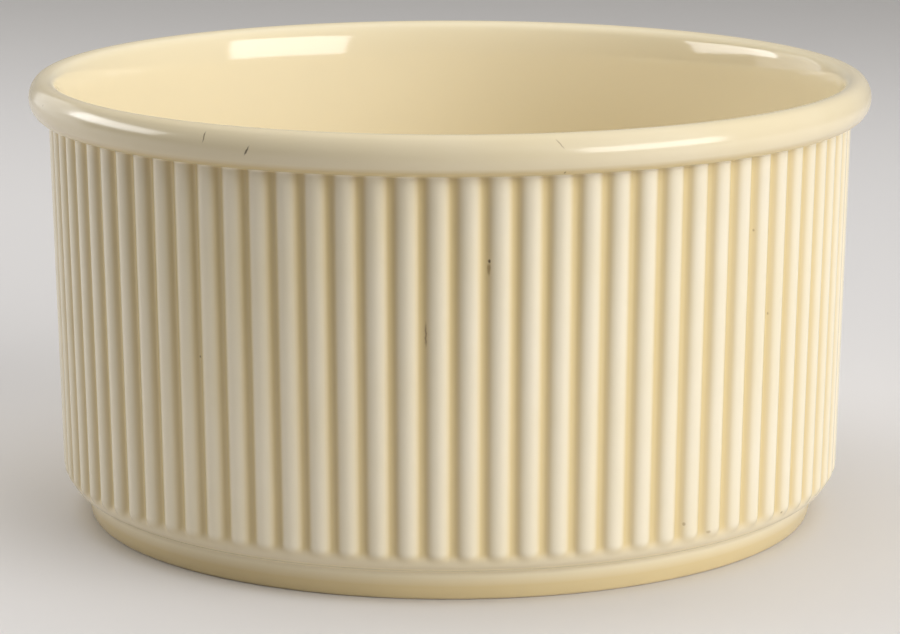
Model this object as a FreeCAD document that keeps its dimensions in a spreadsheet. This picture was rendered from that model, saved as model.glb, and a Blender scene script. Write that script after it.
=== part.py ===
import FreeCAD, Part
import math
import os
import Sketcher

# Ribbed souffle dish: one fired ceramic piece, standing on its foot ring.
# Millimetres and degrees. The origin is at the middle of the foot, +Z is up.
SIZES = {
    "dish_height": 100.0,  # table to the top of the rolled rim
    "wall_base_diameter": 175.4,  # plain wall between the ribs, carried down to the table
    "wall_draft": 1.25,  # lean of the wall outwards
    "wall_thickness": 3.4,  # at the floor, between two ribs
    "mouth_thickness": 1.6,  # just under the rim, between two ribs
    "floor_thickness": 4.8,
    "inside_corner_radius": 9.0,
    "rim_overhang": 5.3,  # rim beyond the plain wall
    "rim_depth": 8.7,  # rolled rim, top to underside
    "rim_crown_radius": 2.9,  # round of the rim's top and underside
    "rim_cove_radius": 1.0,  # hollow where the rim's underside meets the wall
    "heel_radius": 3.8,  # round below the ribs
    "foot_height": 6.8,
    "foot_draft": 12.3,  # lean of the foot's outside
    "foot_ring_width": 4.6,
    "foot_recess": 3.0,  # underside above the table, inside the ring
    "foot_cove_size": 0.6,  # hollow between foot and heel
    "foot_edge_size": 0.5,  # worn edges that touch the table
    "rib_count": 88.0,
    "rib_width": 5.0,  # where a rib meets the wall
    "rib_rise": 0.9,  # crest of a rib above the wall
    "rib_foot_height": 10.6,  # lower tip of a rib
    "rib_top_height": 90.0,  # upper tip of a rib
    "rib_tip_length": 2.0,  # in which a rib rises from its tip to its crest
    "rib_root_depth": 0.15,  # how far a rib is sunk in the wall to join it
}
CROWN_SHARE_LIMIT = 0.45  # the rim's top round never takes more than this share of its width
EDGE_SHARE_LIMIT = 0.4  # the foot's edge bevels never take more than this share of the ring
FULL_TURN = 360  # degrees
EDGE_MATCH = 0.001  # how near an edge lies to the circle that it is looked up by

# Each round of the section is drawn as so many equal flats on its arc, which keeps the facets few.
HEEL_FLATS = 4
COVE_FLATS = 2
RIM_UNDER_FLATS = 2
RIM_OUTER_FLATS = 4
RIM_TOP_FLATS = 4
RIM_INNER_FLATS = 2
CORNER_FLATS = 5
RIB_FLATS = 4

doc = FreeCAD.newDocument("souffle_dish")
sheet = doc.addObject("Spreadsheet::Sheet", "sizes")
for row, (alias, value) in enumerate(SIZES.items(), start=1):
    sheet.set("A%d" % row, alias)
    sheet.set("B%d" % row, str(value))
    sheet.setAlias("B%d" % row, alias)
doc.recompute()

# The formulas that several features share, written once.
WALL_SLOPE = "tan(sizes.wall_draft * 1 deg)"
FLOOR_TOP = "(sizes.foot_recess + sizes.floor_thickness)"
RIM_UNDERSIDE = "(sizes.dish_height - sizes.rim_depth)"
RIM_WIDTH = "(sizes.rim_overhang + sizes.mouth_thickness)"
RIM_MIDDLE = "(sizes.dish_height - sizes.rim_depth / 2)"
WALL_AT_RIM = "(sizes.wall_base_diameter / 2 + %s * %s)" % (WALL_SLOPE, RIM_UNDERSIDE)
RIM_CENTRE = "(%s + sizes.rim_overhang - %s / 2)" % (WALL_AT_RIM, RIM_WIDTH)
CROWN = "min(sizes.rim_crown_radius; %g * %s; %g * sizes.rim_depth)" % (
    CROWN_SHARE_LIMIT, RIM_WIDTH, CROWN_SHARE_LIMIT)
RIM_SIDE = "(((%s / 2) ^ 2 + (sizes.rim_depth / 2 - %s) ^ 2 - (%s) ^ 2) / (%s - 2 * %s))" % (
    RIM_WIDTH, CROWN, CROWN, RIM_WIDTH, CROWN)
INSIDE_AT_FLOOR = "(sizes.wall_base_diameter / 2 + %s * %s - sizes.wall_thickness)" % (WALL_SLOPE, FLOOR_TOP)
HEEL_CENTRE = (
    "(sizes.wall_base_diameter / 2 + %s * (sizes.foot_height + sizes.heel_radius)"
    " - sizes.heel_radius / cos(sizes.wall_draft * 1 deg))" % WALL_SLOPE)
FOOT_BASE = "(%s - sizes.foot_height * tan(sizes.foot_draft * 1 deg))" % HEEL_CENTRE
FOOT_EDGE = "min(sizes.foot_edge_size; %g * sizes.foot_ring_width; %g * sizes.foot_recess)" % (
    EDGE_SHARE_LIMIT, EDGE_SHARE_LIMIT)
RIB_ROUND = "(((sizes.rib_width / 2) ^ 2 + sizes.rib_rise ^ 2) / (2 * sizes.rib_rise))"

START, END, CENTRE = 1, 2, 3  # which point of a sketch element a constraint takes
X_AXIS, Y_AXIS = -1, -2


def value_of(formula):
    """What a formula gives for the sizes in the sheet, as a plain number."""
    result = sheet.evalExpression(formula)
    return float(getattr(result, "Value", result))


def origin_feature(body, role):
    """The body's own origin plane or axis with this role."""
    return next(item for item in body.Origin.OriginFeatures if item.Role == role)


def upright_sketch(body, name):
    """A sketch on the body's upright plane: its x is the radius, its y the height."""
    sketch = body.newObject("Sketcher::SketchObject", name)
    sketch.AttachmentSupport = [(origin_feature(body, "XZ_Plane"), "")]
    sketch.MapMode = "FlatFace"
    return sketch


def constrain(sketch, kind, *parts):
    sketch.addConstraint(Sketcher.Constraint(kind, *parts))


def tie(sketch, kind, *parts, formula):
    """A sized constraint whose value follows a formula of the sheet."""
    index = sketch.addConstraint(Sketcher.Constraint(kind, *parts, value_of(formula)))
    sketch.setExpression("Constraints[%d]" % index, formula)


def tie_angle(sketch, *parts, formula):
    """An angle constraint, in degrees, that follows a formula of the sheet."""
    index = sketch.addConstraint(Sketcher.Constraint("Angle", *parts, math.radians(value_of(formula))))
    sketch.setExpression("Constraints[%d]" % index, formula)


def add_line(sketch, start, end, construction=False):
    line = Part.LineSegment(FreeCAD.Vector(*start, 0), FreeCAD.Vector(*end, 0))
    return sketch.addGeometry(line, construction)


def add_point(sketch, place):
    return sketch.addGeometry(Part.Point(FreeCAD.Vector(*place, 0)), True)


def polar(centre, radius, angle):
    """The point at this radius and angle in degrees from a centre."""
    turn = math.radians(angle)
    return (centre[0] + radius * math.cos(turn), centre[1] + radius * math.sin(turn))


def add_round(sketch, centre, radius, first_angle, last_angle, flats):
    """A construction arc, anticlockwise between two angles, with the outline's equal flats drawn on it."""
    circle = Part.Circle(FreeCAD.Vector(*centre, 0), FreeCAD.Vector(0, 0, 1), radius)
    arc = sketch.addGeometry(
        Part.ArcOfCircle(circle, math.radians(first_angle), math.radians(last_angle)), True)
    step = (last_angle - first_angle) / flats
    corners = [polar(centre, radius, first_angle + step * number) for number in range(flats + 1)]
    lines = [add_line(sketch, start, end) for start, end in zip(corners, corners[1:])]
    constrain(sketch, "Coincident", arc, START, lines[0], START)
    constrain(sketch, "Coincident", arc, END, lines[-1], END)
    for before, after in zip(lines, lines[1:]):
        constrain(sketch, "Coincident", before, END, after, START)
        constrain(sketch, "PointOnObject", after, START, arc)
        constrain(sketch, "Equal", before, after)
    return arc


def make_section(body):
    """The whole turned section of the dish: foot, heel, wall, rolled rim, inside and floor."""
    sketch = upright_sketch(body, "section")
    draft = value_of("sizes.wall_draft")
    lean = math.radians(draft)
    base_radius = value_of("sizes.wall_base_diameter / 2")
    heel = value_of("sizes.heel_radius")
    foot_height = value_of("sizes.foot_height")
    recess = value_of("sizes.foot_recess")
    floor_top = value_of(FLOOR_TOP)
    crown = value_of(CROWN)
    side = value_of(RIM_SIDE)
    cove = value_of("sizes.rim_cove_radius")
    corner = value_of("sizes.inside_corner_radius")
    rim_width = value_of(RIM_WIDTH)
    rim_middle = value_of(RIM_MIDDLE)
    rim_centre = value_of(RIM_CENTRE)

    # Outside, from the axis under the floor up to the wall.
    heel_centre = (value_of(HEEL_CENTRE), foot_height + heel)
    foot_base = value_of(FOOT_BASE)
    ring_inside = foot_base - value_of("sizes.foot_ring_width")
    underside = add_line(sketch, (0, recess), (ring_inside, recess))
    ring_side = add_line(sketch, (ring_inside, recess), (ring_inside, 0))
    contact = add_line(sketch, (ring_inside, 0), (foot_base, 0))
    foot_side = add_line(sketch, (foot_base, 0), (heel_centre[0], foot_height))
    heel_round = add_round(sketch, heel_centre, heel, -90, -draft, HEEL_FLATS)

    # Under the rim, a hollow round touches both the wall and the rim's lower round.
    under_centre = (rim_centre, value_of(RIM_UNDERSIDE) + crown)
    beyond_wall = (under_centre[0] - base_radius) * math.cos(lean) - under_centre[1] * math.sin(lean)
    along_wall = (under_centre[0] - base_radius) * math.sin(lean) + under_centre[1] * math.cos(lean)
    cove_along = along_wall - math.sqrt((crown + cove) ** 2 - (beyond_wall - cove) ** 2)
    cove_centre = (
        base_radius + cove_along * math.sin(lean) + cove * math.cos(lean),
        cove_along * math.cos(lean) - cove * math.sin(lean))
    touch_angle = math.degrees(math.atan2(under_centre[1] - cove_centre[1], under_centre[0] - cove_centre[0]))
    wall = add_line(sketch, polar(heel_centre, heel, -draft), polar(cove_centre, cove, 180 - draft))
    cove_round = add_round(sketch, cove_centre, cove, touch_angle, 180 - draft, COVE_FLATS)

    # The rolled rim is an oval of four rounds: under, outer side, top and inner side.
    top_centre = (rim_centre, value_of("sizes.dish_height") - crown)
    outer_centre = (rim_centre + rim_width / 2 - side, rim_middle)
    inner_centre = (rim_centre - rim_width / 2 + side, rim_middle)
    join_angle = math.degrees(math.atan2(top_centre[1] - rim_middle, rim_centre - outer_centre[0]))
    rim_under = add_round(sketch, under_centre, crown, touch_angle - 180, -join_angle, RIM_UNDER_FLATS)
    rim_outer = add_round(sketch, outer_centre, side, -join_angle, join_angle, RIM_OUTER_FLATS)
    rim_top = add_round(sketch, top_centre, crown, join_angle, 180 - join_angle, RIM_TOP_FLATS)

    # Inside, from the rim down to the floor and in to the axis.
    inside_base = (value_of(INSIDE_AT_FLOOR), floor_top)
    gap = (inner_centre[0] - inside_base[0], inner_centre[1] - inside_base[1])
    inside_lean = math.atan2(gap[0], gap[1]) - math.asin(side / math.hypot(*gap))
    inside_tilt = math.degrees(inside_lean)
    corner_centre = (
        inside_base[0] + corner * math.tan(inside_lean) - corner / math.cos(inside_lean), floor_top + corner)
    rim_inner = add_round(sketch, inner_centre, side, 180 - join_angle, 180 - inside_tilt, RIM_INNER_FLATS)
    inside_wall = add_line(
        sketch, polar(inner_centre, side, 180 - inside_tilt), polar(corner_centre, corner, -inside_tilt))
    inside_corner = add_round(sketch, corner_centre, corner, -90, -inside_tilt, CORNER_FLATS)
    floor = add_line(sketch, (corner_centre[0], floor_top), (0, floor_top))
    axis = add_line(sketch, (0, floor_top), (0, recess))

    # Corners that only meet, then joins that run smoothly into each other.
    corners = ((underside, ring_side), (ring_side, contact), (contact, foot_side), (floor, axis), (axis, underside))
    for first, second in corners:
        constrain(sketch, "Coincident", first, END, second, START)
    constrain(sketch, "Coincident", foot_side, END, heel_round, START)
    smooth_joins = (
        (heel_round, END, wall, START), (wall, END, cove_round, END), (cove_round, START, rim_under, START),
        (rim_under, END, rim_outer, START), (rim_outer, END, rim_top, START), (rim_top, END, rim_inner, START),
        (rim_inner, END, inside_wall, START), (inside_wall, END, inside_corner, END),
        (inside_corner, START, floor, START))
    for join in smooth_joins:
        constrain(sketch, "Tangent", *join)
    for level in (underside, contact, floor):
        constrain(sketch, "Horizontal", level)
    constrain(sketch, "Vertical", ring_side)
    constrain(sketch, "Vertical", heel_round, START, heel_round, CENTRE)
    constrain(sketch, "PointOnObject", contact, START, X_AXIS)
    constrain(sketch, "PointOnObject", axis, START, Y_AXIS)
    constrain(sketch, "PointOnObject", axis, END, Y_AXIS)

    # The walls are set by their lines: the outer one where it reaches the table, the inner one at the floor.
    wall_foot = add_point(sketch, (base_radius, 0))
    constrain(sketch, "PointOnObject", wall_foot, START, X_AXIS)
    constrain(sketch, "PointOnObject", wall_foot, START, wall)
    inside_foot = add_point(sketch, inside_base)
    constrain(sketch, "PointOnObject", inside_foot, START, inside_wall)

    tie(sketch, "DistanceX", X_AXIS, START, wall_foot, START, formula="sizes.wall_base_diameter / 2")
    tie_angle(sketch, wall, START, Y_AXIS, START, formula="sizes.wall_draft * 1 deg")
    tie(sketch, "DistanceX", X_AXIS, START, inside_foot, START, formula=INSIDE_AT_FLOOR)
    tie(sketch, "DistanceY", X_AXIS, START, inside_foot, START, formula=FLOOR_TOP)
    tie(sketch, "DistanceY", X_AXIS, START, floor, START, formula=FLOOR_TOP)
    tie(sketch, "DistanceY", X_AXIS, START, underside, START, formula="sizes.foot_recess")
    tie(sketch, "DistanceX", contact, START, contact, END, formula="sizes.foot_ring_width")
    tie(sketch, "DistanceY", X_AXIS, START, foot_side, END, formula="sizes.foot_height")
    tie_angle(sketch, foot_side, START, Y_AXIS, START, formula="sizes.foot_draft * 1 deg")
    tie(sketch, "DistanceX", X_AXIS, START, rim_under, CENTRE, formula=RIM_CENTRE)
    tie(sketch, "DistanceX", X_AXIS, START, rim_top, CENTRE, formula=RIM_CENTRE)
    tie(sketch, "DistanceY", X_AXIS, START, rim_under, CENTRE, formula="%s + %s" % (RIM_UNDERSIDE, CROWN))
    tie(sketch, "DistanceY", X_AXIS, START, rim_top, CENTRE, formula="sizes.dish_height - %s" % CROWN)
    tie(sketch, "DistanceY", X_AXIS, START, rim_inner, CENTRE, formula=RIM_MIDDLE)
    radii = (
        (heel_round, "sizes.heel_radius"), (cove_round, "sizes.rim_cove_radius"), (rim_under, CROWN),
        (rim_top, CROWN), (rim_outer, RIM_SIDE), (rim_inner, RIM_SIDE),
        (inside_corner, "sizes.inside_corner_radius"))
    for arc, formula in radii:
        tie(sketch, "Radius", arc, formula=formula)
    return sketch


def make_rib_station(body, name, height, crest_rise):
    """A rib's cross-section at one height: flats on a round, closed by a base line sunk in the wall."""
    sketch = body.newObject("Sketcher::SketchObject", name)
    sketch.AttachmentSupport = [(origin_feature(body, "XY_Plane"), "")]
    sketch.MapMode = "FlatFace"
    sketch.setExpression(".AttachmentOffset.Base.z", height)
    crest = "sizes.wall_base_diameter / 2 + %s * (%s) + %s" % (WALL_SLOPE, height, crest_rise)
    centre = "%s - %s" % (crest, RIB_ROUND)
    base = "%s - sizes.rib_rise - sizes.rib_root_depth" % crest
    radius = value_of(RIB_ROUND)
    reach = value_of(base) - value_of(centre)
    half_angle = math.degrees(math.acos(reach / radius))
    half_base = math.sqrt(radius ** 2 - reach ** 2)
    arc = add_round(sketch, (value_of(centre), 0), radius, -half_angle, half_angle, RIB_FLATS)
    base_line = add_line(sketch, (value_of(base), half_base), (value_of(base), -half_base))
    constrain(sketch, "Coincident", arc, END, base_line, START)
    constrain(sketch, "Coincident", base_line, END, arc, START)
    constrain(sketch, "Vertical", base_line)
    constrain(sketch, "PointOnObject", arc, CENTRE, X_AXIS)
    tie(sketch, "Radius", arc, formula=RIB_ROUND)
    tie(sketch, "DistanceX", X_AXIS, START, arc, CENTRE, formula=centre)
    tie(sketch, "DistanceX", X_AXIS, START, base_line, START, formula=base)
    return sketch


def round_edges(shape, radius, height):
    """Names of the circular edges with this radius and height."""
    names = []
    for number, edge in enumerate(shape.Edges, start=1):
        if not isinstance(edge.Curve, Part.Circle):
            continue
        misses = (edge.Curve.Radius - radius, edge.Curve.Center.z - height)
        if max(abs(miss) for miss in misses) < EDGE_MATCH:
            names.append("Edge%d" % number)
    return names


def bevel(body, base, name, edges, formula):
    """A bevel along round edges of a feature."""
    chamfer = body.newObject("PartDesign::Chamfer", name)
    chamfer.Base = (base, edges)
    chamfer.setExpression("Size", formula)
    doc.recompute()
    return chamfer


def make_dish():
    """Turn the section, soften the foot, then raise one rib and repeat it round the wall."""
    body = doc.addObject("PartDesign::Body", "souffle_dish")
    body.Label = "souffle_dish"
    section = make_section(body)
    turned = body.newObject("PartDesign::Revolution", "turned_body")
    turned.Profile = section
    turned.ReferenceAxis = (section, ["V_Axis"])
    turned.Angle = FULL_TURN
    doc.recompute()

    foot_base = value_of(FOOT_BASE)
    ring_inside = foot_base - value_of("sizes.foot_ring_width")
    cove_edges = round_edges(turned.Shape, value_of(HEEL_CENTRE), value_of("sizes.foot_height"))
    foot_cove = bevel(body, turned, "foot_cove", cove_edges, "sizes.foot_cove_size")
    contact_edges = round_edges(foot_cove.Shape, foot_base, 0) + round_edges(foot_cove.Shape, ring_inside, 0)
    bevel(body, foot_cove, "foot_edge", contact_edges, FOOT_EDGE)

    run_out = "sizes.rib_root_depth * sizes.rib_tip_length / sizes.rib_rise"
    sunk = "-1 * sizes.rib_root_depth"
    stations = (
        ("rib_foot", "sizes.rib_foot_height - %s" % run_out, sunk),
        ("rib_low", "sizes.rib_foot_height + sizes.rib_tip_length", "sizes.rib_rise"),
        ("rib_high", "sizes.rib_top_height - sizes.rib_tip_length", "sizes.rib_rise"),
        ("rib_head", "sizes.rib_top_height + %s" % run_out, sunk))
    sections = [make_rib_station(body, *station) for station in stations]
    rib = body.newObject("PartDesign::AdditiveLoft", "rib")
    rib.Profile = sections[0]
    rib.Sections = sections[1:]
    rib.Ruled = True
    doc.recompute()
    ribs = body.newObject("PartDesign::PolarPattern", "ribs")
    ribs.Originals = [rib]
    ribs.Axis = (origin_feature(body, "Z_Axis"), [""])
    ribs.Angle = FULL_TURN
    ribs.setExpression("Occurrences", "sizes.rib_count")
    body.Tip = ribs
    doc.recompute()
    return body


dish = make_dish()
doc.recompute()
for item in doc.Objects:
    if "Invalid" in item.State or "Error" in item.State:
        raise RuntimeError("%s did not recompute: %s" % (item.Label, item.State))
os.makedirs("parts", exist_ok=True)
for piece in (dish,):
    if piece.Shape.isNull() or not piece.Shape.isValid():
        raise RuntimeError("%s has no valid shape" % piece.Label)
    piece.Shape.exportStep("parts/%s.step" % piece.Label)
    print(piece.Label, "solids", len(piece.Shape.Solids), "faces", len(piece.Shape.Faces),
          "volume", round(piece.Shape.Volume))
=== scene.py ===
import math
import bmesh
import bpy
from mathutils import Matrix, Vector


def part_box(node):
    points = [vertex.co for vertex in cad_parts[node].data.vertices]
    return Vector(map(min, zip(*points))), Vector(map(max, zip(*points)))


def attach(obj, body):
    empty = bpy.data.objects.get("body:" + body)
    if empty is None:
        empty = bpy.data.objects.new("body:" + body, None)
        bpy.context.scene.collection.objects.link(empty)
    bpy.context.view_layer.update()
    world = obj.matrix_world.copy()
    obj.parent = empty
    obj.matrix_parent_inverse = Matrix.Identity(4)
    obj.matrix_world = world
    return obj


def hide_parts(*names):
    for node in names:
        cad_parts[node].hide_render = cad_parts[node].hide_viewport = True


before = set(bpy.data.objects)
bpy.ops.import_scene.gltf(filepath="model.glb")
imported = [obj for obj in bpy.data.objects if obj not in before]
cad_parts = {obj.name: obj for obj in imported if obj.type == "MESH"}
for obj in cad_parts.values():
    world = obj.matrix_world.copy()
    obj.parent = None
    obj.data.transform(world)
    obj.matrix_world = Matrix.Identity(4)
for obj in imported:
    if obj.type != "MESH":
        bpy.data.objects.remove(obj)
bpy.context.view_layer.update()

print("frame loaded")

mm = 0.001

# the dish's section, in mm and degrees, from the axis outwards
dishSection = {
    "wallBaseRadius": 87.7,  # plain wall between the ribs, at table height
    "wallDraft": 1.25,
    "floorTop": 7.8,
    "floorCorner": 9.0,
    "insideDraft": 2.3,
    "insideTopRadius": 87.7,  # inner wall where the rim's long inner round begins
    "rimDepth": 8.7,
    "rimWidth": 6.9,
    "rimCrown": 2.9,  # round of the rim's top and underside
    "rimInnerRound": 30.0,
    "rimHollow": 1.0,
    "heel": 3.8,
    "footHeight": 6.8,
    "footDraft": 12.3,
    "footHollow": 2.2,
    "footEdge": 0.8,
    "footRingWidth": 4.6,
    "recess": 3.0,
    "recessRound": 1.3,
}

# rows of faces along each stretch of the section
sectionRows = {
    "recess": 3,
    "recessRound": 4,
    "footEdge": 3,
    "foot": 2,
    "footHollow": 4,
    "heel": 10,
    "ribFeet": 5,
    "wall": 4,
    "rimHollow": 5,
    "rimUnder": 4,
    "rimSide": 6,
    "rimTop": 10,
    "rimInnerRound": 6,
    "insideWall": 3,
    "floorCorner": 8,
    "floor": 3,
}

# the reeds round the outside: round beads with narrow grooves between
ribs = {
    "count": 88,
    "columnsEach": 12,
    "width": 4.9,
    "fullness": 0.75,  # 0.5 is an ellipse, 1 a parabola
    "rise": 0.9,  # crest above the plain wall
    "sink": 0.25,  # groove below the plain wall
    "footHeight": 8.8,
    "footRound": 0.6,  # flanks end this much above the crest
    "footTip": 2.8,
    "topReach": 2.2,  # how far out under the rim the reeds die away
    "zoneDepth": 0.4,  # what lies this far in from the plain wall still counts as its face
    "zoneAbove": 1.0,  # the same, above the rim's lowest level
    "weld": 0.002,  # mm within which the sectors' seams are closed
}

# where the glaze lies thin or pools and where painted shade darkens the grooves, the rim's
# underside and the foot, 0 to 1, and where the wet gloss of the inside begins
glazeDepthAndShade = {
    # foot and rimUnder are partly deeper glaze and partly painted shade under the heel and under
    # the rim
    "foot": 0.9,
    "heel": 0.25,
    "footFadeBelow": 0.4,  # mm below and above the top of the foot
    "footFadeAbove": 0.8,
    "rimUnder": 0.7,
    "rim": 0.35,
    "rimFade": 1.5,  # mm above the rim's lowest level
    "glossFade": 3.0,  # mm inwards from the middle of the rim
    "glossInWall": 1.2,  # mm in from the plain wall's face
    "glossAboveRecess": 1.0,
}


def only(kind, items):
    # the vertices or the edges among what an operator gives back
    return [item for item in items if isinstance(item, kind)]


def finishObject(bm, name):
    # the mesh as a smooth object at the origin
    mesh = bpy.data.meshes.new(name)
    bm.to_mesh(mesh)
    bm.free()
    for face in mesh.polygons:
        face.use_smooth = True
    thing = bpy.data.objects.new(name, mesh)
    bpy.context.collection.objects.link(thing)
    return thing


def pointAt(centre, radius, degrees):
    turn = math.radians(degrees)
    return (centre[0] + radius * math.cos(turn), centre[1] + radius * math.sin(turn))


def drawLine(bm, vert, x, z, rows=1):
    # the section's pen runs straight to x, z in so many rows
    start = vert.co.copy()
    end = Vector((x, 0, z))
    for row in range(1, rows + 1):
        vert = bmesh.ops.extrude_vert_indiv(bm, verts=[vert])["verts"][0]
        vert.co = start.lerp(end, row / rows)
    return vert


def drawArc(bm, vert, centre, degrees, rows):
    # the pen turns about a centre, anticlockwise where degrees is above zero
    turned = bmesh.ops.spin(
        bm, geom=[vert], cent=(centre[0], 0, centre[1]), axis=(0, -1, 0),
        angle=math.radians(degrees), steps=rows)
    return only(bmesh.types.BMVert, turned["geom_last"])[0]


def hollowCentre(lineX, draft, circle, radius, hollow):
    # centre of the hollow that touches a round above it
    # and a line that leans out from lineX at the table
    lean = math.radians(draft)
    away = (circle[0] - lineX) * math.cos(lean) - circle[1] * math.sin(lean)
    along = (circle[0] - lineX) * math.sin(lean) + circle[1] * math.cos(lean)
    along -= math.sqrt((radius + hollow) ** 2 - (away - hollow) ** 2)
    return (lineX + along * math.sin(lean) + hollow * math.cos(lean),
            along * math.cos(lean) - hollow * math.sin(lean))


def drawHollow(bm, vert, centre, draft, circle, circleEnd, rows, roundRows):
    # from the leaning line through the hollow, then on round the circle above to its end angle
    touch = math.degrees(math.atan2(circle[1] - centre[1], circle[0] - centre[0]))
    vert = drawArc(bm, vert, centre, touch - (180 - draft), rows)
    return drawArc(bm, vert, circle, circleEnd - (touch - 180), roundRows)


def drawSection(bm, height, rimRadius):
    s = dishSection
    rows = sectionRows
    slope = math.tan(math.radians(s["wallDraft"]))
    heelLevel = s["footHeight"] + s["heel"]
    heelCentre = (s["wallBaseRadius"] + slope * heelLevel
                  - s["heel"] / math.cos(math.radians(s["wallDraft"])), heelLevel)
    footLean = math.radians(s["footDraft"])
    footBase = heelCentre[0] - s["footHeight"] * math.tan(footLean)
    ringInside = footBase - s["footRingWidth"]

    # underside, in to the foot ring and round its two worn edges
    vert = bm.verts.new((0, 0, s["recess"]))
    inner = (ringInside - s["recessRound"], s["recess"] - s["recessRound"])
    vert = drawLine(bm, vert, inner[0], s["recess"], rows["recess"])
    vert = drawArc(bm, vert, inner, -90, rows["recessRound"])
    edge = s["footEdge"]
    vert = drawLine(bm, vert, ringInside, edge)
    vert = drawArc(bm, vert, (ringInside + edge, edge), 90, rows["footEdge"])
    outer = (footBase + edge * (math.tan(footLean) - 1 / math.cos(footLean)), edge)
    vert = drawLine(bm, vert, outer[0], 0)
    vert = drawArc(bm, vert, outer, 90 - s["footDraft"], rows["footEdge"])

    # foot, heel and the plain wall, with close rows where the ribs' tips are
    centre = hollowCentre(footBase, s["footDraft"], heelCentre, s["heel"], s["footHollow"])
    start = pointAt(centre, s["footHollow"], 180 - s["footDraft"])
    vert = drawLine(bm, vert, *start, rows["foot"])
    vert = drawHollow(bm, vert, centre, s["footDraft"], heelCentre, -s["wallDraft"],
                      rows["footHollow"], rows["heel"])
    crown = s["rimCrown"]
    rimCentreX = rimRadius - s["rimWidth"] / 2
    under = (rimCentreX, height - s["rimDepth"] + crown)
    centre = hollowCentre(s["wallBaseRadius"], s["wallDraft"], under, crown, s["rimHollow"])
    start = pointAt(centre, s["rimHollow"], 180 - s["wallDraft"])
    ribFeetEnd = ribs["footHeight"] + ribs["footRound"] + ribs["footTip"]
    for level, count in ((ribFeetEnd, rows["ribFeet"]), (start[1], rows["wall"])):
        vert = drawLine(bm, vert, s["wallBaseRadius"] + slope * level, level, count)

    # rolled rim: an oval outside, and a long inner round that runs into the inside wall
    halfWidth = s["rimWidth"] / 2
    halfDepth = s["rimDepth"] / 2
    side = (halfWidth ** 2 + (halfDepth - crown) ** 2 - crown ** 2) / (2 * (halfWidth - crown))
    join = math.degrees(math.atan2(halfDepth - crown, side - halfWidth))
    vert = drawHollow(bm, vert, centre, s["wallDraft"], under, -join,
                      rows["rimHollow"], rows["rimUnder"])
    vert = drawArc(bm, vert, (rimRadius - side, height - halfDepth), 2 * join, rows["rimSide"])
    innerRound = s["rimInnerRound"]
    draft = s["insideDraft"]
    reach = s["insideTopRadius"] + innerRound * math.cos(math.radians(draft)) - rimCentreX
    innerJoin = math.degrees(math.acos(reach / (innerRound - crown)))
    top = (rimCentreX, height - crown)
    vert = drawArc(bm, vert, top, 180 - innerJoin - join, rows["rimTop"])
    centre = pointAt(top, innerRound - crown, -innerJoin)
    vert = drawArc(bm, vert, centre, innerJoin - draft, rows["rimInnerRound"])

    # inside wall, the round at its foot, and the floor in to the axis
    inside = vert.co.copy()
    lean = math.radians(draft)
    cornerLevel = s["floorTop"] + s["floorCorner"]
    cornerX = (inside.x - (inside.z - cornerLevel) * math.tan(lean)
               - s["floorCorner"] / math.cos(lean))
    corner = (cornerX, cornerLevel)
    vert = drawLine(bm, vert, *pointAt(corner, s["floorCorner"], -draft), rows["insideWall"])
    vert = drawArc(bm, vert, corner, draft - 90, rows["floorCorner"])
    drawLine(bm, vert, 0, s["floorTop"], rows["floor"])


def fade(value, low, high):
    # 0 at low, 1 at high, smooth between them
    share = min(max((value - low) / (high - low), 0), 1)
    return share * share * (3 - 2 * share)


def blend(start, end, share):
    return start + share * (end - start)


def ribHeight(x, y, z, wall):
    # how far the rib at azimuth 0 lifts or sinks the wall at this place, in mm
    across = math.atan2(y, x) * wall / (ribs["width"] / 2)
    crest = max(1 - across ** 2, 0) ** ribs["fullness"]
    foot = ribs["footHeight"] + ribs["footRound"] * across ** 2
    reach = fade(z, foot, foot + ribs["footTip"])
    reach *= 1 - fade(math.hypot(x, y) - wall, 0, ribs["topReach"])
    return reach * (crest * (ribs["rise"] + ribs["sink"]) - ribs["sink"])


def shapeSector(bm, height, rimRadius):
    # raises the rib and notes on each vertex how glossy it is and how far it darkens towards the
    # deeper colour, for deeper glaze and painted shade
    depth = glazeDepthAndShade
    footTop = dishSection["footHeight"]
    rimUnder = height - dishSection["rimDepth"]
    rimCentreX = rimRadius - dishSection["rimWidth"] / 2
    slope = math.tan(math.radians(dishSection["wallDraft"]))
    gloss = bm.verts.layers.float.new("innerGloss")
    poolAndShade = bm.verts.layers.float.new("poolAndPaintedShade")
    for vert in bm.verts:
        x, y, z = vert.co
        radius = math.hypot(x, y)
        wall = dishSection["wallBaseRadius"] + slope * z
        if z > rimUnder:
            vert[gloss] = 1 - fade(radius, rimCentreX - depth["glossFade"], rimCentreX)
        else:
            vert[gloss] = float(z > dishSection["recess"] + depth["glossAboveRecess"]
                                and radius < wall - depth["glossInWall"])
        if (radius > wall - ribs["zoneDepth"]
                and ribs["footHeight"] < z < rimUnder + ribs["zoneAbove"]):
            lift = ribHeight(x, y, z, wall)
            vert.co.x *= 1 + lift / radius
            vert.co.y *= 1 + lift / radius
            ribShare = fade(z, ribs["footHeight"], ribs["footHeight"] + ribs["footTip"])
            # painted shade: the grooves between the reeds take the deeper colour
            vert[poolAndShade] = blend(depth["heel"], fade(-lift, -ribs["rise"], ribs["sink"]), ribShare)
        elif radius > wall:
            rimShare = fade(z, rimUnder, rimUnder + depth["rimFade"])
            # painted shade under the rim, fading out up the rim
            vert[poolAndShade] = blend(depth["rimUnder"], depth["rim"], rimShare)
        elif z < ribs["footHeight"]:
            heelShare = fade(z, footTop - depth["footFadeBelow"], footTop + depth["footFadeAbove"])
            # painted shade on the foot under the heel
            vert[poolAndShade] = blend(depth["foot"], depth["heel"], heelShare)


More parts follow.
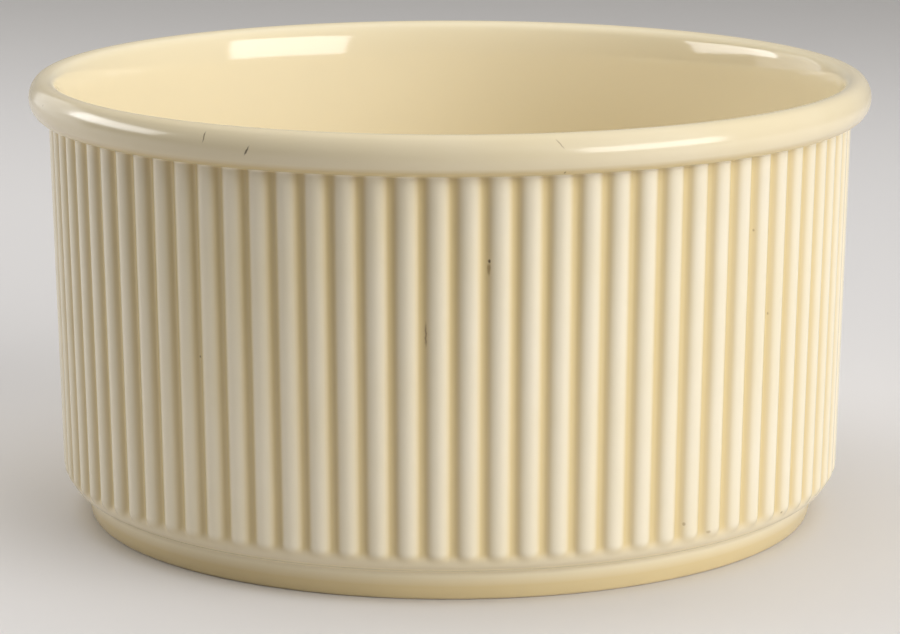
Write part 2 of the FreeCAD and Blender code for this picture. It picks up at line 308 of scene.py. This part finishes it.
def makeDish():
    low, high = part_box("souffle_dish")
    height = high.z / mm
    rimRadius = min(high.x, high.y) / mm
    pitch = 2 * math.pi / ribs["count"]

    # one sector of the dish, a rib wide
    bm = bmesh.new()
    drawSection(bm, height, rimRadius)
    bmesh.ops.rotate(bm, cent=(0, 0, 0), matrix=Matrix.Rotation(-pitch / 2, 3, "Z"),
                     verts=bm.verts)
    bmesh.ops.spin(bm, geom=bm.verts[:] + bm.edges[:], cent=(0, 0, 0), axis=(0, 0, 1),
                   angle=pitch, steps=ribs["columnsEach"])
    shapeSector(bm, height, rimRadius)

    # the sectors go round, and their seams and the two poles are closed
    bmesh.ops.spin(bm, geom=bm.verts[:] + bm.edges[:] + bm.faces[:], cent=(0, 0, 0),
                   axis=(0, 0, 1), angle=2 * math.pi - pitch, steps=ribs["count"] - 1,
                   use_duplicate=True)
    bmesh.ops.remove_doubles(bm, verts=bm.verts, dist=ribs["weld"])
    bmesh.ops.recalc_face_normals(bm, faces=bm.faces)
    bmesh.ops.scale(bm, vec=(mm, mm, mm), verts=bm.verts)
    dish = finishObject(bm, "glazed_dish")
    print("dish made,", len(dish.data.vertices), "vertices")
    return dish


def hexToLinear(code):
    # sRGB hex to the linear colour that the shaders take
    channels = [int(code[i:i + 2], 16) / 255 for i in (1, 3, 5)]
    linear = [c / 12.92 if c <= 0.04045 else ((c + 0.055) / 1.055) ** 2.4 for c in channels]
    return (*linear, 1.0)


# a Mix node's inputs and outputs, for numbers and for colours
mixShare = 0
numberA, numberB, numberOut = 2, 3, 0
colourA, colourB, colourOut = 6, 7, 2


def addNode(tree, kind, values=None, links=None, **settings):
    # one node, with its settings, its socket values and the outputs that feed it
    node = tree.nodes.new(kind)
    for name, value in settings.items():
        setattr(node, name, value)
    for socket, value in (values or {}).items():
        node.inputs[socket].default_value = value
    for socket, source in (links or {}).items():
        tree.links.new(source, node.inputs[socket])
    return node


def newMaterial(name):
    material = bpy.data.materials.new(name)
    material.use_nodes = True
    tree = material.node_tree
    tree.nodes.clear()
    return material, tree


glaze = {
    "crest": "#F1E7D1",
    "mottle": "#EBDEBE",
    # colour of deeper glaze and of painted shade in the grooves, under the rim and on the foot
    "pooledAndShaded": "#DBC591",
    "inside": "#F1E4C3",
    "insideRoughness": 0.09,
    "outsideRoughness": 0.17,
    "ior": 1.6,
    "mottleSize": 22.0,  # mm across a cloud of slightly deeper glaze
    "mottleDetail": 3.0,
    "waveSize": 9.0,  # mm between the glaze's slow swells
    "waveDetail": 1.0,
    "waveStrength": 0.05,
    "waveHeight": 0.6,  # mm
    "bare": "#D9C8A8",
    "bareRoughness": 0.85,
    "bareLevel": 0.45,  # mm above the table where the glaze was wiped off
}

# wear and firing marks: azimuth and tilt in degrees, the rest in mm,
# where across and upwards are half the mark's size
marks = (
    {"azimuth": -120.6, "radius": 94.6, "level": 97.8, "across": 0.2, "upwards": 1.5, "tilt": -4,
     "colour": "#5F4A36", "strength": 0.75},
    {"azimuth": -114.2, "radius": 94.9, "level": 95.8, "across": 0.26, "upwards": 1.3, "tilt": -31,
     "colour": "#4A3A2B", "strength": 0.85},
    {"azimuth": -74.8, "radius": 94.4, "level": 98.2, "across": 0.2, "upwards": 1.5, "tilt": 40,
     "colour": "#8C735C", "strength": 0.5},
    {"azimuth": -74.0, "radius": 93.7, "level": 92.1, "across": 0.3, "upwards": 0.35, "tilt": 0,
     "colour": "#6B5336", "strength": 0.6},
    {"azimuth": -157.5, "radius": 94.8, "level": 97.3, "across": 0.3, "upwards": 0.3, "tilt": 0,
     "colour": "#8A7250", "strength": 0.5},
    {"azimuth": -83.3, "radius": 89.3, "level": 73.6, "across": 0.3, "upwards": 0.45, "tilt": 0,
     "colour": "#513A24", "strength": 0.85},
    {"azimuth": -83.3, "radius": 89.3, "level": 71.9, "across": 0.4, "upwards": 1.6, "tilt": 0,
     "colour": "#8F6F3C", "strength": 0.6},
    {"azimuth": -91.6, "radius": 89.2, "level": 58.1, "across": 0.32, "upwards": 3.3, "tilt": 0,
     "colour": "#6E4C2E", "strength": 0.65},
    {"azimuth": -42.6, "radius": 89.7, "level": 75.0, "across": 0.35, "upwards": 0.4, "tilt": 0,
     "colour": "#8A6F49", "strength": 0.6},
    {"azimuth": -38.6, "radius": 89.3, "level": 56.0, "across": 0.35, "upwards": 0.5, "tilt": 0,
     "colour": "#8A6F49", "strength": 0.6},
    {"azimuth": -124.6, "radius": 89.1, "level": 49.8, "across": 0.35, "upwards": 0.4, "tilt": 0,
     "colour": "#5E4A30", "strength": 0.65},
    {"azimuth": -50.0, "radius": 88.3, "level": 11.1, "across": 0.6, "upwards": 0.5, "tilt": 0,
     "colour": "#A88E62", "strength": 0.5},
    {"azimuth": -33.6, "radius": 88.0, "level": 10.4, "across": 0.4, "upwards": 0.35, "tilt": 0,
     "colour": "#7D6440", "strength": 0.6},
    {"azimuth": -54.4, "radius": 88.4, "level": 13.9, "across": 0.4, "upwards": 0.5, "tilt": 0,
     "colour": "#9A7F54", "strength": 0.5},
    {"azimuth": -23.4, "radius": 88.0, "level": 10.2, "across": 0.5, "upwards": 0.35, "tilt": 0,
     "colour": "#8F754C", "strength": 0.55},
)

markEdges = {
    "depth": 1.6,  # mm that a mark reaches into and out of the surface
    "fadeStart": 0.3,  # share of the mark's size at which it begins to fade
    "fadeEnd": 1.1,
    "grain": 1.1,  # mm between the notches that make the edges ragged
    "raggedness": 0.5,  # mm
}


def addMark(tree, place, colour, mark):
    # one small mark over the colour so far: a soft-edged pip or line on the dish's outside
    azimuth = math.radians(mark["azimuth"])
    centre = (mark["radius"] * mm * math.cos(azimuth), mark["radius"] * mm * math.sin(azimuth),
              mark["level"] * mm)
    near = addNode(tree, "ShaderNodeMapping", {
        "Location": centre, "Rotation": (math.radians(mark["tilt"]), 0, azimuth),
        "Scale": (markEdges["depth"] * mm, mark["across"] * mm, mark["upwards"] * mm)},
        {"Vector": place}, vector_type="TEXTURE")
    away = addNode(tree, "ShaderNodeVectorMath", None, {0: near.outputs["Vector"]},
                   operation="LENGTH")
    mask = addNode(tree, "ShaderNodeMapRange", {
        "From Min": markEdges["fadeEnd"], "From Max": markEdges["fadeStart"],
        "To Max": mark["strength"]},
        {"Value": away.outputs["Value"]}, interpolation_type="SMOOTHSTEP")
    marked = addNode(tree, "ShaderNodeMix", {colourB: hexToLinear(mark["colour"])},
                     {mixShare: mask.outputs["Result"], colourA: colour}, data_type="RGBA")
    return marked.outputs[colourOut]


def creamGlaze():
    # cream lead-style glaze, poured and fired: deeper where it pools, with painted shade in the
    # grooves, under the rim and on the foot, satin outside, wet-looking inside
    material, tree = newMaterial("creamGlazedEarthenware")
    place = addNode(tree, "ShaderNodeTexCoord").outputs["Object"]
    poolAndShade = addNode(tree, "ShaderNodeAttribute", attribute_name="poolAndPaintedShade").outputs["Fac"]
    gloss = addNode(tree, "ShaderNodeAttribute", attribute_name="innerGloss").outputs["Fac"]
    clouds = addNode(tree, "ShaderNodeTexNoise",
                     {"Scale": 1 / (glaze["mottleSize"] * mm), "Detail": glaze["mottleDetail"]},
                     {"Vector": place})
    body = addNode(tree, "ShaderNodeMix",
                   {colourA: hexToLinear(glaze["crest"]), colourB: hexToLinear(glaze["mottle"])},
                   {mixShare: clouds.outputs["Fac"]}, data_type="RGBA")
    # painted shade and deeper glaze: the outside darkens towards this colour where the attribute
    # is high
    outside = addNode(tree, "ShaderNodeMix", {colourB: hexToLinear(glaze["pooledAndShaded"])},
                      {mixShare: poolAndShade, colourA: body.outputs[colourOut]}, data_type="RGBA")
    glazed = addNode(tree, "ShaderNodeMix", {colourB: hexToLinear(glaze["inside"])},
                     {mixShare: gloss, colourA: outside.outputs[colourOut]}, data_type="RGBA")
    glazedRoughness = addNode(
        tree, "ShaderNodeMix",
        {numberA: glaze["outsideRoughness"], numberB: glaze["insideRoughness"]},
        {mixShare: gloss}, data_type="FLOAT")

    # the ring it stands on is bare clay
    level = addNode(tree, "ShaderNodeSeparateXYZ", None, {"Vector": place}).outputs["Z"]
    bare = addNode(tree, "ShaderNodeMapRange",
                   {"From Min": glaze["bareLevel"] * mm, "From Max": glaze["bareLevel"] * mm / 2},
                   {"Value": level}).outputs["Result"]
    colour = addNode(tree, "ShaderNodeMix", {colourB: hexToLinear(glaze["bare"])},
                     {mixShare: bare, colourA: glazed.outputs[colourOut]},
                     data_type="RGBA").outputs[colourOut]
    roughness = addNode(tree, "ShaderNodeMix", {numberB: glaze["bareRoughness"]},
                        {mixShare: bare, numberA: glazedRoughness.outputs[numberOut]},
                        data_type="FLOAT").outputs[numberOut]

    # marks, their edges made ragged by a fine noise about its middle value of a half
    grain = addNode(tree, "ShaderNodeTexNoise", {"Scale": 1 / (markEdges["grain"] * mm)},
                    {"Vector": place})
    offset = addNode(tree, "ShaderNodeVectorMath", {1: (-0.5, -0.5, -0.5)},
                     {0: grain.outputs["Color"]}, operation="ADD")
    ragged = addNode(tree, "ShaderNodeVectorMath", {1: [markEdges["raggedness"] * mm] * 3},
                     {0: offset.outputs["Vector"], 2: place}, operation="MULTIPLY_ADD")
    for mark in marks:
        colour = addMark(tree, ragged.outputs["Vector"], colour, mark)

    swell = addNode(tree, "ShaderNodeTexNoise",
                    {"Scale": 1 / (glaze["waveSize"] * mm), "Detail": glaze["waveDetail"]},
                    {"Vector": place})
    bump = addNode(tree, "ShaderNodeBump",
                   {"Strength": glaze["waveStrength"], "Distance": glaze["waveHeight"] * mm},
                   {"Height": swell.outputs["Fac"]})
    shader = addNode(
        tree, "ShaderNodeBsdfPrincipled", {"IOR": glaze["ior"]},
        {"Base Color": colour, "Roughness": roughness, "Normal": bump.outputs["Normal"]})
    addNode(tree, "ShaderNodeOutputMaterial", None, {"Surface": shader.outputs["BSDF"]})
    return material


# metres and degrees
studio = {
    # painted shade: the board darkens far behind the dish and near the camera, where less light
    # reaches it
    "floorPale": "#DEDBD9",
    "floorFarShade": "#C3C0BD",
    "farStart": 0.35,  # behind the dish, where the board begins to darken
    "farEnd": 1.05,
    "floorNearShade": "#7F7D7A",
    "nearStart": -0.12,  # the same, in front of the dish
    "nearEnd": -0.42,
    "boardRoughness": 0.6,
    "floorFront": 2.0,  # floor in front of the dish's middle
    "sweepStart": 1.1,  # behind the dish, where the floor curves up
    "sweepRadius": 0.8,
    "sweepRows": 24,
    "wallHeight": 1.5,  # straight board above the curve
    "halfWidth": 3.0,
    "worldColour": "#F2F0EC",
    "worldStrength": 0.05,
    "lampTarget": 0.05,  # level at which the lamps are aimed
    "cameraLens": 141.04,  # mm, for a film 36 mm wide
    "cameraDistance": 0.7929,
    "cameraHeight": 0.2115,
    "cameraPitch": 0.2093,  # radians below level
    "turn": 1.6,  # by which the camera and the lamps are turned about the dish
}

# those that aren't mirrored light the glaze without showing in it
softboxes = (
    {"name": "windowRight", "azimuth": 54, "elevation": 14, "distance": 1.3,
     "width": 0.95, "height": 0.48, "power": 7.2, "mirrored": True},
    {"name": "windowLeft", "azimuth": -103, "elevation": 20, "distance": 1.3,
     "width": 0.87, "height": 0.36, "power": 4.8, "mirrored": True},
    {"name": "windowBehind", "azimuth": -130, "elevation": 10, "distance": 1.3,
     "width": 0.9, "height": 0.8, "power": 2.2, "mirrored": True},
    {"name": "roomRight", "azimuth": 50, "elevation": 34, "distance": 1.4,
     "width": 1.5, "height": 0.7, "power": 9.2, "mirrored": False},
    {"name": "ceiling", "azimuth": 180, "elevation": 82, "distance": 1.5,
     "width": 2.0, "height": 2.0, "power": 20.8, "mirrored": False},
)


def paintedBoard():
    # matt painted board; painted shade makes it a little darker far behind the dish and near the
    # camera
    material, tree = newMaterial("paintedBoard")
    place = addNode(tree, "ShaderNodeTexCoord").outputs["Object"]
    along = addNode(tree, "ShaderNodeSeparateXYZ", None, {"Vector": place}).outputs["Y"]
    far = addNode(tree, "ShaderNodeMapRange",
                  {"From Min": studio["farStart"], "From Max": studio["farEnd"]},
                  {"Value": along}, interpolation_type="SMOOTHSTEP")
    near = addNode(tree, "ShaderNodeMapRange",
                   {"From Min": studio["nearStart"], "From Max": studio["nearEnd"]},
                   {"Value": along}, interpolation_type="SMOOTHSTEP")
    pale = addNode(
        tree, "ShaderNodeMix",
        {colourA: hexToLinear(studio["floorPale"]), colourB: hexToLinear(studio["floorFarShade"])},
        {mixShare: far.outputs["Result"]}, data_type="RGBA")
    colour = addNode(tree, "ShaderNodeMix", {colourB: hexToLinear(studio["floorNearShade"])},
                     {mixShare: near.outputs["Result"], colourA: pale.outputs[colourOut]},
                     data_type="RGBA").outputs[colourOut]
    shader = addNode(tree, "ShaderNodeBsdfPrincipled", {"Roughness": studio["boardRoughness"]},
                     {"Base Color": colour})
    addNode(tree, "ShaderNodeOutputMaterial", None, {"Surface": shader.outputs["BSDF"]})
    return material


def studioFloor():
    # a board that sweeps up behind the dish
    bm = bmesh.new()
    half = studio["halfWidth"]
    front = studio["floorFront"]
    edge = bm.edges.new((bm.verts.new((-half, -front, 0)), bm.verts.new((half, -front, 0))))
    flat = bmesh.ops.extrude_edge_only(bm, edges=[edge])["geom"]
    bmesh.ops.translate(bm, vec=(0, front + studio["sweepStart"], 0),
                        verts=only(bmesh.types.BMVert, flat))
    curve = bmesh.ops.spin(
        bm, geom=only(bmesh.types.BMEdge, flat), axis=(1, 0, 0), angle=math.pi / 2,
        cent=(0, studio["sweepStart"], studio["sweepRadius"]), steps=studio["sweepRows"])
    upright = bmesh.ops.extrude_edge_only(
        bm, edges=only(bmesh.types.BMEdge, curve["geom_last"]))["geom"]
    bmesh.ops.translate(bm, vec=(0, 0, studio["wallHeight"]),
                        verts=only(bmesh.types.BMVert, upright))
    bmesh.ops.recalc_face_normals(bm, faces=bm.faces)
    floor = finishObject(bm, "studioFloor")
    floor.data.materials.append(paintedBoard())


def turnAboutDish():
    return Matrix.Rotation(math.radians(studio["turn"]), 4, "Z")


def studioLights():
    target = Vector((0, 0, studio["lampTarget"]))
    for box in softboxes:
        lamp = bpy.data.lights.new(box["name"], "AREA")
        lamp.shape = "RECTANGLE"
        lamp.size = box["width"]
        lamp.size_y = box["height"]
        lamp.energy = box["power"]
        azimuth = math.radians(box["azimuth"])
        elevation = math.radians(box["elevation"])
        place = target + box["distance"] * Vector((
            math.sin(azimuth) * math.cos(elevation), -math.cos(azimuth) * math.cos(elevation),
            math.sin(elevation)))
        aim = (target - place).to_track_quat("-Z", "Y").to_matrix().to_4x4()
        thing = bpy.data.objects.new(box["name"], lamp)
        thing.matrix_world = turnAboutDish() @ Matrix.Translation(place) @ aim
        thing.visible_glossy = box["mirrored"]
        bpy.context.collection.objects.link(thing)
    world = bpy.data.worlds.new("paleRoom")
    world.use_nodes = True
    background = world.node_tree.nodes["Background"]
    background.inputs["Color"].default_value = hexToLinear(studio["worldColour"])
    background.inputs["Strength"].default_value = studio["worldStrength"]
    bpy.context.scene.world = world


def studioCamera():
    lens = bpy.data.cameras.new("photoCamera")
    lens.lens = studio["cameraLens"]
    lens.sensor_width = 36
    lens.clip_start = 0.01
    camera = bpy.data.objects.new("photoCamera", lens)
    place = Matrix.Translation((0, -studio["cameraDistance"], studio["cameraHeight"]))
    pitch = Matrix.Rotation(math.pi / 2 - studio["cameraPitch"], 4, "X")
    camera.matrix_world = turnAboutDish() @ place @ pitch
    bpy.context.collection.objects.link(camera)
    bpy.context.scene.camera = camera


dish = makeDish()
dish.data.materials.append(creamGlaze())
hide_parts("souffle_dish")
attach(dish, "root")
print("glaze laid")

studioFloor()
studioLights()
studioCamera()
bpy.context.scene.view_settings.view_transform = "Standard"
print("studio lit")
